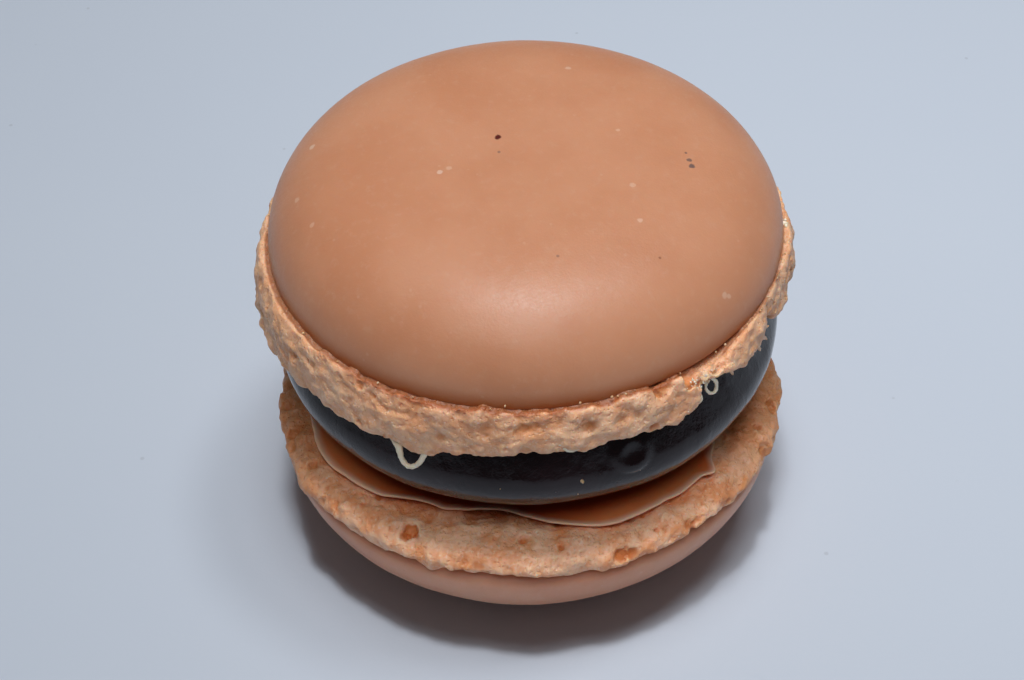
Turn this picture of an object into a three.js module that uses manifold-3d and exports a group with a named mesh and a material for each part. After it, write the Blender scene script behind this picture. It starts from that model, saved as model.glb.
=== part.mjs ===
// A French macaron: two almond meringue shells with a thick dark filling between them.
// Millimetres, +Z up. The origin is under the middle of the macaron, on the surface it rests on.
// Azimuths are in degrees, from the front (-Y) round towards the right-hand side (+X).

import * as THREE from 'three';
import { ImprovedNoise } from 'three/addons/math/ImprovedNoise.js';
import { mergeVertices } from 'three/addons/utils/BufferGeometryUtils.js';
import Module from 'manifold-3d';

const wasm = await Module();
wasm.setup();

// Driving dimensions that both shells share, each as it bakes: flat skin down, dome up.
const DOME_EDGE_HEIGHT = 4.2; // widest ring of the dome, above the flat skin
const DOME_EDGE_DROP = 0.7; // the dome's edge rolls under by this much
const DOME_SIDE_POWER = 4.1; // 2 would be an ellipse; more makes squarer shoulders
const DOME_TOP_POWER = 1.9;
const DOME_SPOT_RADIUS = 6; // flat spot in the middle of the dome
const FOOT_MIDDLE_RADIUS = 21.0; // centre of the foot's rounded section
const FOOT_WIDTH = 1.9;
const FOOT_TOP = 3.2; // where the foot meets the crease under the dome
const LIP_WIDTH = 0.9;
const STEP_DEPTH = 0.25; // bare crumb outside the lip lies a little deeper

// The two shells. Their feet are torn, sagged and scalloped, and spread further in places.
// wider moves the foot's side, sag its skin side and scallop its crease side.
const UPPER_SHELL = {
  height: 12.4,
  domeRadius: 21.5,
  domeLean: 0.025, // the dome is higher on its left, by this much for each millimetre across
  creaseRadius: 20.6,
  footBottom: -0.4,
  lipRadius: 19.6,
  lipRise: 0,
  seed: 3,
  wider: (azimuth) => 0.2 * bump(azimuth, -72, 30) - 0.6 * bump(azimuth, -118, 22)
    - 0.6 * bump(azimuth, 68, 14) - 0.5 * bump(azimuth, 115, 20),
  sag: (azimuth) => 1.5 * bump(azimuth, -42, 24) + 1.5 * bump(azimuth, -72, 14)
    + 0.4 * bump(azimuth, -8, 12) + 0.45 * bump(azimuth, 25, 8) - 1.5 * bump(azimuth, 44, 11),
  scallop: () => 0,
  lip: () => 0,
};
const LOWER_SHELL = {
  height: 12.2,
  domeRadius: 22.0,
  domeLean: 0,
  creaseRadius: 21.0,
  footBottom: -0.1,
  lipRadius: 20.0,
  lipRise: 0.3, // the flat skin's edge curls away from the shell
  seed: 11,
  wider: (azimuth) => -0.7 * bump(azimuth, turnedOver(-98), 26) - 1.6 * bump(azimuth, turnedOver(110), 19),
  sag: () => 0,
  scallop: (azimuth) => 1.9 * bump(azimuth, turnedOver(18), 4) + 1.5 * bump(azimuth, turnedOver(41), 7)
    + 0.5 * bump(azimuth, turnedOver(-5), 8) - 0.5 * bump(azimuth, turnedOver(-50), 18),
  lip: (azimuth) => -2.8 * bump(azimuth, turnedOver(-10), 23),
};

// Filling: a squeezed disc, fullest above its middle, with its lower edge tucked in.
const FILLING_THICKNESS = 12.0; // from skin to skin
const FILLING_RADIUS = 21.6;
const FILLING_BULGE_HEIGHT = 6.9; // widest ring, above the filling's own bottom
const FILLING_UPPER_ROUND = { width: 2.3, height: 4.9 };
const FILLING_LOWER_ROUND = { width: 4.6, height: 5.6 };
const FILLING_SEAT_RADIUS = 15.6; // where the filling stands on the lower shell
const SEAT_GAP = 0.3; // clear distance between the filling and each shell

// How the pieces were put together: each a little off the middle, {side, back}.
const LOWER_SHELL_OFFSET = { side: -0.1, back: -0.3 };
const UPPER_SHELL_OFFSET = { side: 0.15, back: 0.25 };
const FILLING_OFFSET = { side: 0.08, back: 0.25 };
const UPPER_SHELL_TILT = 0.4; // degrees; the upper shell sits lower on its left-hand side

// Relief of the crumb.
const CRAG_HEIGHT = 0.3;
const CRAG_SIZE = 2.6;
const CRUMB_COUNT = 26;
const CRUMB_SIZE = 0.6;
const CRUMB_SINK = 0.01; // share of its distance from the axis by which a crumb is set in

const SHELL_TURN_STEPS = 96;
const FILLING_TURN_STEPS = 64;
const FOOT_STEPS = 7;
const DOME_STEPS = 8;
const FILLING_STEPS = 5;

const noise = new ImprovedNoise();

function bump(azimuth, middle, width) {
  const away = THREE.MathUtils.euclideanModulo(azimuth - middle + 180, 360) - 180;
  return Math.exp(-((away / width) ** 2));
}

// An azimuth of the finished macaron, as the lower shell's own azimuth before it is turned over.
function turnedOver(azimuth) {
  return 180 - azimuth;
}

// Two scales of rough crumb at a point of the foot, about -1 to 1.
function crag(x, y, z, seed) {
  const coarse = noise.noise(x / CRAG_SIZE, y / CRAG_SIZE, z / CRAG_SIZE + seed);
  const fine = noise.noise((2 * x) / CRAG_SIZE, (2 * y) / CRAG_SIZE, (2 * z) / CRAG_SIZE - seed);
  return 1.3 * coarse + 0.7 * fine;
}

// A ring of the foot's rounded section. angle goes from -90 degrees, its skin side, to 90, its crease side.
function footRing(shell, angle) {
  const middle = (shell.footBottom + FOOT_TOP) / 2;
  const half = (FOOT_TOP - shell.footBottom) / 2;
  const turn = THREE.MathUtils.degToRad(angle);
  return { r: FOOT_MIDDLE_RADIUS + FOOT_WIDTH * Math.cos(turn), z: middle + half * Math.sin(turn), part: 'foot' };
}

// Half outline of a shell as rings {r, z, part}, from the middle of the flat skin to the dome's top.
// part says which relief the ring takes: skin, lip, foot or dome.
function shellOutline(shell) {
  const rings = [
    { r: 0, z: 0, part: 'skin' },
    { r: FILLING_SEAT_RADIUS, z: 0, part: 'skin' },
    { r: shell.lipRadius - LIP_WIDTH, z: 0, part: 'lip' },
    { r: shell.lipRadius, z: -shell.lipRise, part: 'lip' },
    { r: shell.lipRadius + LIP_WIDTH / 3, z: STEP_DEPTH, part: 'lip' },
  ];
  for (let i = 1; i <= FOOT_STEPS; i++) {
    rings.push(footRing(shell, 180 * (i / (FOOT_STEPS + 1) - 0.5)));
  }
  rings.push({ r: shell.creaseRadius, z: FOOT_TOP + 0.1, part: 'crease' });
  rings.push({ r: shell.domeRadius - DOME_EDGE_DROP / 3, z: DOME_EDGE_HEIGHT - DOME_EDGE_DROP / 2, part: 'crease' });
  const domeHeight = shell.height - DOME_EDGE_HEIGHT;
  for (let i = 0; i < DOME_STEPS; i++) {
    const angle = (Math.PI / 2) * (i / DOME_STEPS) ** 0.85;
    rings.push({
      r: shell.domeRadius * Math.cos(angle) ** (2 / DOME_SIDE_POWER),
      z: DOME_EDGE_HEIGHT + domeHeight * Math.sin(angle) ** (2 / DOME_TOP_POWER),
      part: 'dome',
    });
  }
  rings.push({ r: DOME_SPOT_RADIUS, z: shell.height, part: 'dome' });
  rings.push({ r: 0, z: shell.height, part: 'dome' });
  return rings;
}

// Where a ring passes an azimuth, after the lean, the sag, the spread and the crags of its part.
function roughPoint(shell, ring, azimuth) {
  const turn = THREE.MathUtils.degToRad(azimuth);
  const side = Math.sin(turn);
  const front = -Math.cos(turn);
  let { r, z } = ring;
  if (ring.part === 'lip') {
    r += shell.lip(azimuth) + 0.2 * crag(r * side, r * front, 0, shell.seed);
  }
  if (ring.part === 'foot') {
    const middle = (shell.footBottom + FOOT_TOP) / 2;
    const fromMiddle = (ring.z - middle) / (FOOT_TOP - middle);
    const proud = (ring.r - FOOT_MIDDLE_RADIUS) / FOOT_WIDTH;
    const rough = CRAG_HEIGHT * crag(ring.r * side, ring.r * front, ring.z, shell.seed);
    const lift = CRAG_HEIGHT * crag(ring.r * front, ring.r * side, ring.z, shell.seed + 5);
    r += proud * (shell.wider(azimuth) + rough);
    z += 0.5 * proud * lift;
    z -= Math.max(0, -fromMiddle) * shell.sag(azimuth) + Math.max(0, fromMiddle) * shell.scallop(azimuth);
  }
  if (ring.part === 'dome') {
    const up = (ring.z - DOME_EDGE_HEIGHT) / (shell.height - DOME_EDGE_HEIGHT);
    z -= shell.domeLean * r * side * up;
  }
  return new THREE.Vector3(r * side, r * front, z);
}

// Turns a list of rings about +Z and closes it. LatheGeometry turns about +Y, hence the rotateX.
function turned(rings, steps) {
  const outline = rings.map((ring) => new THREE.Vector2(ring.r, ring.z));
  return new THREE.LatheGeometry(outline, steps).rotateX(Math.PI / 2);
}

// Keeps only positions, so that shared corners merge into one closed skin.
function closedSkin(geometry) {
  geometry.deleteAttribute('normal');
  geometry.deleteAttribute('uv');
  return mergeVertices(geometry, 1e-4);
}

function toSolid(geometry) {
  const skin = closedSkin(geometry);
  const corners = skin.index.array;
  const triangles = [];
  for (let i = 0; i < corners.length; i += 3) {
    const [a, b, c] = [corners[i], corners[i + 1], corners[i + 2]];
    if (a !== b && b !== c && c !== a) triangles.push(a, b, c);
  }
  return new wasm.Manifold(new wasm.Mesh({
    numProp: 3,
    vertProperties: new Float32Array(skin.attributes.position.array),
    triVerts: new Uint32Array(triangles),
  }));
}

function toGeometry(solid) {
  const mesh = solid.getMesh();
  const geometry = new THREE.BufferGeometry();
  geometry.setAttribute('position', new THREE.BufferAttribute(new Float32Array(mesh.vertProperties), 3));
  geometry.setIndex(new THREE.BufferAttribute(new Uint32Array(mesh.triVerts), 1));
  geometry.computeVertexNormals();
  return geometry;
}

// Repeatable numbers from 0 to 1.
function makeDraw(seed) {
  let state = seed * 7919 + 1;
  return () => {
    state = (state * 1103515245 + 12345) % 2147483648;
    return state / 2147483648;
  };
}

// Loose crumbs baked onto the foot: small faceted lumps, sunk about half way into it.
function crumbs(shell) {
  const draw = makeDraw(shell.seed);
  const lumps = [];
  for (let i = 0; i < CRUMB_COUNT; i++) {
    const azimuth = (360 * (i + 0.8 * draw())) / CRUMB_COUNT;
    const size = CRUMB_SIZE * (0.7 + 0.6 * draw());
    const seat = roughPoint(shell, footRing(shell, 85 * (draw() - 0.35)), azimuth);
    const lump = new THREE.IcosahedronGeometry(size, 0)
      .scale(1.3, 0.8, 0.7 + 0.5 * draw())
      .rotateZ(THREE.MathUtils.degToRad(azimuth))
      .translate(seat.x * (1 - CRUMB_SINK), seat.y * (1 - CRUMB_SINK), seat.z);
    lumps.push(toSolid(lump));
  }
  return lumps;
}

function shellSolid(shell) {
  const rings = shellOutline(shell);
  const geometry = turned(rings, SHELL_TURN_STEPS);
  const position = geometry.attributes.position;
  for (let i = 0; i < position.count; i++) {
    const azimuth = (360 * Math.floor(i / rings.length)) / SHELL_TURN_STEPS;
    const point = roughPoint(shell, rings[i % rings.length], azimuth);
    position.setXYZ(i, point.x, point.y, point.z);
  }
  return crumbs(shell).reduce((solid, lump) => solid.add(lump), toSolid(geometry));
}

// A thread of baked sugar that hangs in a loop from the upper foot, both ends in the crumb.
// Its route is given from where it hangs: {side, out, up}.
function sugarLoop() {
  const threadRadius = 0.19;
  const azimuth = THREE.MathUtils.degToRad(-26);
  const reach = 22.35;
  const route = [
    { side: -2.2, out: -1.2, up: 0.9 },
    { side: -1.6, out: -0.1, up: 0.4 },
    { side: -1.1, out: 0.0, up: -1.2 },
    { side: -0.1, out: 0.05, up: -3.1 },
    { side: 0.9, out: 0.0, up: -2.0 },
    { side: 1.4, out: -0.1, up: -0.5 },
    { side: 2.0, out: -1.2, up: 0.6 },
  ];
  const curve = new THREE.CatmullRomCurve3(route.map(({ side, out, up }) => new THREE.Vector3(
    (reach + out) * Math.sin(azimuth) + side * Math.cos(azimuth),
    -(reach + out) * Math.cos(azimuth) + side * Math.sin(azimuth),
    up,
  )));
  const section = new THREE.Shape().absarc(0, 0, threadRadius, 0, 2 * Math.PI);
  return new THREE.ExtrudeGeometry(section, { steps: 24, curveSegments: 4, extrudePath: curve });
}

function fillingOutline() {
  const height = FILLING_THICKNESS - 2 * SEAT_GAP;
  const lower = FILLING_LOWER_ROUND;
  const upper = FILLING_UPPER_ROUND;
  const rings = [
    { r: 0, z: 0 },
    { r: FILLING_SEAT_RADIUS - 0.4, z: 0 },
    { r: FILLING_SEAT_RADIUS, z: FILLING_BULGE_HEIGHT - lower.height },
  ];
  for (let i = 1; i <= FILLING_STEPS; i++) {
    const angle = (Math.PI / 2) * (1 - i / FILLING_STEPS);
    rings.push({
      r: FILLING_RADIUS - lower.width * (1 - Math.cos(angle)),
      z: FILLING_BULGE_HEIGHT - lower.height * Math.sin(angle),
    });
  }
  for (let i = 1; i < FILLING_STEPS; i++) {
    const angle = (Math.PI / 2) * (i / FILLING_STEPS);
    rings.push({
      r: FILLING_RADIUS - upper.width * (1 - Math.cos(angle)),
      z: FILLING_BULGE_HEIGHT + upper.height * Math.sin(angle),
    });
  }
  rings.push({ r: FILLING_RADIUS - upper.width - 0.3, z: height }, { r: 0, z: height });
  return rings;
}

function addPiece(group, name, geometry, colour, roughness) {
  const material = new THREE.MeshStandardMaterial({ color: colour, roughness, metalness: 0 });
  const mesh = new THREE.Mesh(geometry, material);
  mesh.name = name;
  group.add(mesh);
  return mesh;
}

const macaron = new THREE.Group();

const lowerShell = addPiece(macaron, 'lower_shell', toGeometry(shellSolid(LOWER_SHELL)), 0xd39a72, 0.6);
lowerShell.rotation.x = Math.PI;
lowerShell.position.set(LOWER_SHELL_OFFSET.side, LOWER_SHELL_OFFSET.back, LOWER_SHELL.height);

const fillingSolid = toSolid(turned(fillingOutline(), FILLING_TURN_STEPS));
const filling = addPiece(macaron, 'filling', toGeometry(fillingSolid), 0x1a1012, 0.35);
filling.position.set(FILLING_OFFSET.side, FILLING_OFFSET.back, LOWER_SHELL.height + SEAT_GAP);

const upperSolid = shellSolid(UPPER_SHELL).add(toSolid(sugarLoop()));
const upperShell = addPiece(macaron, 'upper_shell', toGeometry(upperSolid), 0xd39a72, 0.5);
upperShell.rotation.y = THREE.MathUtils.degToRad(-UPPER_SHELL_TILT);
upperShell.position.set(
  UPPER_SHELL_OFFSET.side,
  UPPER_SHELL_OFFSET.back,
  LOWER_SHELL.height + FILLING_THICKNESS,
);

export default macaron;
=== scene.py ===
import math
import random

import bpy
import numpy as np
from mathutils import Matrix, Vector, bvhtree, kdtree, noise


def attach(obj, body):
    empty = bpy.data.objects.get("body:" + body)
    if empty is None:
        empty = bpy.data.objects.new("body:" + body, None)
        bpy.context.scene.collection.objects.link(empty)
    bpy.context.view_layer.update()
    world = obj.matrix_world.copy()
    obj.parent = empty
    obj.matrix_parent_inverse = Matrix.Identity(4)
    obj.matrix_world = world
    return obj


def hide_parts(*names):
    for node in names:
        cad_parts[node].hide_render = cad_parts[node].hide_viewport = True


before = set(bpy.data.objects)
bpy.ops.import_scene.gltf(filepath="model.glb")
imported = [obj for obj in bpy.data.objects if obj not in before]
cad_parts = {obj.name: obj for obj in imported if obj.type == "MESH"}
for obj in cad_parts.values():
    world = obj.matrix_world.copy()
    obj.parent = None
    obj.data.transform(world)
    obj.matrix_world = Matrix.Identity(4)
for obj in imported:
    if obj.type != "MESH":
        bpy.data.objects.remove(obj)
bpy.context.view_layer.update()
MM = 0.001  # pieces are modelled in millimetres, and brought to metres when they are finished


# ---- Table, lights and camera ----
# A pale sheet under one small distant lamp straight above and a soft panel round it, with another to
# the right and a third in front that a flag keeps off the sheet. The camera looks down from the front.

FRAME_WIDTH = 1024
FRAME_HEIGHT = 680
FOCAL_PIXELS = 2200
SENSOR_WIDTH = 36.0
AIM = Vector((0.08, 0.25, 14.0)) * MM
CAMERA_DISTANCE = 194.31 * MM
CAMERA_RISE = math.radians(44.0)
CAMERA_ROLL = math.radians(-1.75)
AIM_RIGHT_OF_CENTRE = 16.63  # pixels
AIM_BELOW_CENTRE = 7.39

camera = bpy.data.objects.new("camera", bpy.data.cameras.new("camera"))
bpy.context.scene.collection.objects.link(camera)
camera.data.sensor_width = SENSOR_WIDTH
camera.data.lens = SENSOR_WIDTH * FOCAL_PIXELS / FRAME_WIDTH
camera.data.clip_start = 0.01
camera.data.shift_x = -AIM_RIGHT_OF_CENTRE / FRAME_WIDTH
camera.data.shift_y = AIM_BELOW_CENTRE / FRAME_WIDTH
away = Vector((0, -math.cos(CAMERA_RISE), math.sin(CAMERA_RISE)))
camera.matrix_world = (Matrix.Translation(AIM + away * CAMERA_DISTANCE)
                       @ Matrix.Rotation(math.pi / 2 - CAMERA_RISE, 4, "X")
                       @ Matrix.Rotation(CAMERA_ROLL, 4, "Z"))
bpy.context.scene.camera = camera


def lamp(name, kind, place, aim, watts):
    """A lamp at place that shines at aim, both in metres."""
    light = bpy.data.objects.new(name, bpy.data.lights.new(name, kind))
    bpy.context.scene.collection.objects.link(light)
    light.data.energy = watts
    light.data.color = (0.94, 0.97, 1.0)
    light.location = place
    light.rotation_euler = (Vector(place) - Vector(aim)).to_track_quat("Z", "Y").to_euler()
    return light


overhead = lamp("overhead_lamp", "SPOT", (-0.01, -0.03, 2.5), (0.045, 0.036, 0), watts=129)
overhead.data.shadow_soft_size = 0.14
overhead.data.spot_size = math.radians(9.5)
overhead.data.spot_blend = 1.0


def round_panel(name, place, watts, width):
    """A soft round panel that shines at the macaron."""
    panel = lamp(name, "AREA", place, AIM, watts)
    panel.data.shape = "DISK"
    panel.data.size = width
    return panel


round_panel("canopy_panel", (0.02, -0.03, 1.0), watts=2.8, width=0.3)
round_panel("right_panel", (0.27, 0.08, 0.98), watts=1.7, width=0.2)
front = round_panel("front_panel", (0.0, -0.45, 0.92), watts=3.5, width=0.45)

world = bpy.data.worlds.new("studio")
bpy.context.scene.world = world
world.use_nodes = True
backdrop = world.node_tree.nodes["Background"].inputs
backdrop["Color"].default_value = (0.9, 0.95, 1.0, 1)
backdrop["Strength"].default_value = 0.065
bpy.context.scene.view_settings.view_transform = "Standard"


def add(tree, kind, inputs=None, **settings):
    """A shader node. A value in inputs is either a socket to link from or a number or colour."""
    made = tree.nodes.new("ShaderNode" + kind)
    for name, value in settings.items():
        setattr(made, name, value)
    for name, value in (inputs or {}).items():
        if isinstance(value, bpy.types.NodeSocket):
            tree.links.new(value, made.inputs[name])
        else:
            made.inputs[name].default_value = value
    return made


def grain(tree, at, size, detail=3.0, roughness=0.55):
    """Noise whose lumps are about size metres across."""
    return add(tree, "TexNoise", {"Vector": at, "Scale": 1 / size, "Detail": detail,
                                  "Roughness": roughness}).outputs["Fac"]


def cells(tree, at, size, **settings):
    """How far each place is from the nearest of scattered points, about size metres apart."""
    return add(tree, "TexVoronoi", {"Vector": at, "Scale": 1 / size}, **settings).outputs["Distance"]


def step_up(tree, value, low, high, top=1.0):
    """0 below low and top above high, with a smooth rise between."""
    return add(tree, "MapRange", {"Value": value, "From Min": low, "From Max": high, "To Max": top},
               interpolation_type="SMOOTHSTEP").outputs["Result"]


def ranged(tree, value, low, high, start=0.0, end=1.0):
    """low where the value is start and high where it is end."""
    return add(tree, "MapRange", {"Value": value, "From Min": start, "From Max": end, "To Min": low,
                                  "To Max": high}).outputs["Result"]


def sum_of(tree, a, b, operation="ADD"):
    return add(tree, "Math", {0: a, 1: b}, operation=operation).outputs[0]


def mixed(tree, share, a, b):
    """Colour a where share is 0 and colour b where it is 1."""
    return add(tree, "Mix", {0: share, 6: a, 7: b}, data_type="RGBA").outputs[2]


def new_material(name, roughness, ior=1.45):
    material = bpy.data.materials.new(name)
    material.use_nodes = True
    shader = material.node_tree.nodes["Principled BSDF"]
    shader.inputs["Roughness"].default_value = roughness
    shader.inputs["IOR"].default_value = ior
    return material, material.node_tree, shader


def object_place(tree):
    return add(tree, "TexCoord").outputs["Object"]


def relief(tree, shader, height, depth):
    """Feeds a height through a bump of that depth in metres to the shader's normal."""
    bump_node = add(tree, "Bump", {"Height": height, "Distance": depth})
    tree.links.new(bump_node.outputs["Normal"], shader.inputs["Normal"])


TABLE_WIDTH = 2.4
bpy.ops.object.select_all(action="DESELECT")
bpy.ops.mesh.primitive_plane_add(size=TABLE_WIDTH)
table = bpy.context.object
table.name = "table"
sheet, tree, shader = new_material("pale sheet", roughness=0.62)
at = object_place(tree)
cloudy = grain(tree, at, 40 * MM, detail=2)
sheet_colour = mixed(tree, cloudy, (0.60, 0.65, 0.74, 1), (0.63, 0.68, 0.76, 1))
dust = step_up(tree, cells(tree, at, 6 * MM), 0.045, 0.02, top=0.22)
tree.links.new(mixed(tree, dust, sheet_colour, (0.22, 0.22, 0.24, 1)), shader.inputs["Base Color"])
relief(tree, shader, grain(tree, at, 0.4 * MM), 0.01 * MM)
table.data.materials.append(sheet)

flagged = bpy.data.collections.new("kept out of the front panel's light")
flagged.objects.link(table)
flagged.collection_objects[0].light_linking.link_state = "EXCLUDE"
front.light_linking.receiver_collection = flagged


def sight(x, y):
    """The camera's place and its line of sight through a spot of its 1024 x 680 view, in millimetres."""
    across = (x - FRAME_WIDTH / 2 - AIM_RIGHT_OF_CENTRE) / FOCAL_PIXELS
    upward = (FRAME_HEIGHT / 2 + AIM_BELOW_CENTRE - y) / FOCAL_PIXELS
    line = camera.matrix_world.to_3x3() @ Vector((across, upward, -1))
    return camera.matrix_world.translation / MM, line.normalized()


# ---- Lower shell: dome and flat skin ----
# Baked almond meringue, set down on its dome: a thin smooth crust that rose and dried before it
# browned. Its flat side, which baked on paper, faces up. The torn foot round it is the next piece.

LOWER_SKIN_HEIGHT = 12.2
LOWER_DOME_RADIUS = 22.0
LOWER_DOME_INNER = 17.0  # where the foot covers it
LOWER_CENTRE = (-0.1, -0.3)
DOME_EDGE_HEIGHT = 4.2  # widest ring of a dome, measured from its own flat skin
DOME_SIDE_POWER = 4.1
DOME_TOP_POWER = 1.9
DOME_RINGS = 64
DOME_STEPS = 300


def dome_outline(radius, height, inner_radius):
    """A shell without its foot and skin, dome up: from its hidden underside to its top, as (r, z)."""
    points = [(0, 0.9), (inner_radius * 0.5, 0.9), (inner_radius, 0.9), (inner_radius + 0.4, 1.2),
              (inner_radius + 0.8, 2.6), (radius - 1.1, 3.2), (radius - 0.75, 3.35),
              (radius - 0.4, 3.55), (radius - 0.15, 3.8), (radius - 0.03, 4.0)]
    for i in range(DOME_RINGS + 1):
        angle = math.pi / 2 * (i / DOME_RINGS) ** 0.9
        r = radius * max(math.cos(angle), 0.0) ** (2 / DOME_SIDE_POWER)
        rise = math.sin(angle) ** (2 / DOME_TOP_POWER)
        points.append((r if i < DOME_RINGS else 0.0, DOME_EDGE_HEIGHT + (height - DOME_EDGE_HEIGHT) * rise))
    return points


def pick(*pieces):
    """Selects these alone, with the first as the active one."""
    bpy.ops.object.select_all(action="DESELECT")
    for piece in pieces:
        piece.select_set(True)
    if pieces:
        bpy.context.view_layer.objects.active = pieces[0]


def spun(name, outline, steps):
    """Extrudes one corner along an outline and spins it about +Z into a closed form."""
    pick()
    bpy.ops.mesh.primitive_plane_add(size=1)
    piece = bpy.context.object
    piece.name = name
    bpy.ops.object.mode_set(mode="EDIT")
    bpy.ops.mesh.select_all(action="SELECT")
    bpy.ops.mesh.merge(type="CENTER")
    here = (0.0, 0.0)
    for i, (r, z) in enumerate(outline):
        go = (r - here[0], 0, z - here[1])
        if i == 0:
            bpy.ops.transform.translate(value=go)
        else:
            bpy.ops.mesh.extrude_region_move(TRANSFORM_OT_translate={"value": go})
        here = (r, z)
    bpy.ops.mesh.select_all(action="SELECT")
    bpy.ops.mesh.spin(steps=steps, angle=2 * math.pi, center=(0, 0, 0), axis=(0, 0, 1))
    bpy.ops.mesh.select_all(action="SELECT")
    bpy.ops.mesh.remove_doubles(threshold=0.001)
    bpy.ops.mesh.normals_make_consistent(inside=False)
    bpy.ops.object.mode_set(mode="OBJECT")
    return piece


def corners(piece):
    places = np.empty(len(piece.data.vertices) * 3)
    piece.data.vertices.foreach_get("co", places)
    return places.reshape(-1, 3)


def put_corners(piece, places):
    piece.data.vertices.foreach_set("co", np.asarray(places, dtype=float).ravel())
    piece.data.update()


def outward(piece):
    """Each corner's normal."""
    normals = np.empty(len(piece.data.vertices) * 3)
    piece.data.vertex_normals.foreach_get("vector", normals)
    return normals.reshape(-1, 3)


def lumps(places, size, seed=0.0):
    """Smooth noise, about -1 to 1, at each place."""
    shift = Vector((seed, 2.3 * seed, -1.7 * seed))
    return np.array([noise.noise(Vector(p) / size + shift) for p in places])


def apply_modifier(piece, kind, **settings):
    pick(piece)
    made = piece.modifiers.new(kind.lower(), kind)
    for name, value in settings.items():
        setattr(made, name, value)
    bpy.ops.object.modifier_apply(modifier=made.name)


def finish_piece(piece, material, slot, *nodes):
    """Brings a piece from millimetres to metres, dresses it and hands it to the frame."""
    pick(piece)
    piece.scale = (MM, MM, MM)
    bpy.ops.object.transform_apply(location=True, rotation=True, scale=True)
    bpy.ops.object.shade_smooth()
    piece.data.materials.clear()
    piece.data.materials.append(material)
    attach(piece, "root")
    if nodes:
        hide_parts(*nodes)


def new_group(name, given, made):
    """An empty shader group with those inputs and outputs, and its own input and output nodes."""
    group = bpy.data.node_groups.new(name, "ShaderNodeTree")
    for socket, kind in given.items():
        group.interface.new_socket(socket, in_out="INPUT", socket_type="NodeSocket" + kind)
    for socket, kind in made.items():
        group.interface.new_socket(socket, in_out="OUTPUT", socket_type="NodeSocket" + kind)
    return group, group.nodes.new("NodeGroupInput").outputs, group.nodes.new("NodeGroupOutput").inputs


def hand_out(group, made, **values):
    for socket, value in values.items():
        group.links.new(value, made[socket])


def make_crust_group():
    """Colour, roughness and height of a smooth baked crust: faint clouds, fine mottle and pinpricks."""
    group, given, made = new_group(
        "smooth crust", {"Place": "Vector", "Base": "Color", "Toast": "Color", "Bloom": "Color"},
        {"Color": "Color", "Roughness": "Float", "Height": "Float"})
    at = given["Place"]
    clouds = step_up(group, grain(group, at, 9 * MM, detail=3), 0.35, 0.7)
    colour = mixed(group, clouds, given["Base"], given["Toast"])
    mottle = step_up(group, grain(group, at, 0.7 * MM, detail=5, roughness=0.75), 0.5, 0.78, top=0.4)
    colour = mixed(group, mottle, colour, given["Bloom"])
    dark_grain = step_up(group, grain(group, at, 0.35 * MM, detail=4, roughness=0.7), 0.52, 0.72, top=0.16)
    colour = mixed(group, dark_grain, colour, (0.45, 0.16, 0.07, 1))
    rare = step_up(group, grain(group, at, 3.1 * MM, detail=1), 0.52, 0.6)
    dots = step_up(group, cells(group, at, 1.3 * MM), 0.14, 0.05, top=0.35)
    dot = sum_of(group, dots, rare, "MULTIPLY")
    colour = mixed(group, dot, colour, given["Bloom"])
    fine = grain(group, at, 0.2 * MM, detail=2)
    rough = ranged(group, fine, 0.35, 0.48, start=0.3, end=0.7)
    height = sum_of(group, sum_of(group, fine, 0.4, "MULTIPLY"), grain(group, at, 1.3 * MM, detail=4))
    hand_out(group, made, Color=colour, Roughness=rough, Height=height)
    return group


smooth_crust = make_crust_group()


def bleed(shader, weight, radius, scale):
    """Lets light in under the surface: how much, how far for red, green and blue, and in millimetres."""
    shader.inputs["Subsurface Weight"].default_value = weight
    shader.inputs["Subsurface Radius"].default_value = radius
    shader.inputs["Subsurface Scale"].default_value = scale * MM


def grouped_material(name, group, colours, depth, **surface):
    """A material made by a shared group, and that group's node. Its colour isn't linked yet."""
    material, tree, shader = new_material(name, **surface)
    made = add(tree, "Group", node_tree=group)
    tree.links.new(object_place(tree), made.inputs["Place"])
    for socket, colour in colours.items():
        made.inputs[socket].default_value = (*colour, 1)
    tree.links.new(made.outputs["Roughness"], shader.inputs["Roughness"])
    relief(tree, shader, made.outputs["Height"], depth * MM)
    return material, tree, shader, made


def crust_material(name, depth, **colours):
    """A crust and its colour, not yet linked to the shader."""
    material, tree, shader, crust = grouped_material(
        name, smooth_crust, colours, depth, roughness=0.45, ior=1.38)
    bleed(shader, 0.35, (1.0, 0.4, 0.2), 0.9)
    return material, tree, shader, crust.outputs["Color"]


section = dome_outline(LOWER_DOME_RADIUS, LOWER_SKIN_HEIGHT, LOWER_DOME_INNER)
lower_dome = spun("lower_shell_dome", section, DOME_STEPS)
places = corners(lower_dome)
places += outward(lower_dome) * (0.10 * lumps(places, 9.0, 4) + 0.03 * lumps(places, 2.5, 9))[:, None]
places[:, 1:] *= -1  # turned over
places += (*LOWER_CENTRE, LOWER_SKIN_HEIGHT)
places[:, 2] = np.maximum(places[:, 2], 0.0)
put_corners(lower_dome, places)
# Painted light and bounce: this crust is paler and pinker than the upper one, to brighten its shaded
# underside.
lower_crust, tree, shader, colour = crust_material(
    "lower crust", depth=0.03, Base=(0.74, 0.38, 0.25), Toast=(0.70, 0.33, 0.21), Bloom=(0.80, 0.50, 0.38))
tree.links.new(colour, shader.inputs["Base Color"])
finish_piece(lower_dome, lower_crust, "lower_shell", "lower_shell")


# ---- Lower shell: torn foot ----
# The foot is the crumb that rose from under the crust and tore in the oven: a soft porous ring, wide
# at the front where the paper took some of the skin away. Bubbles have burst in it.

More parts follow.
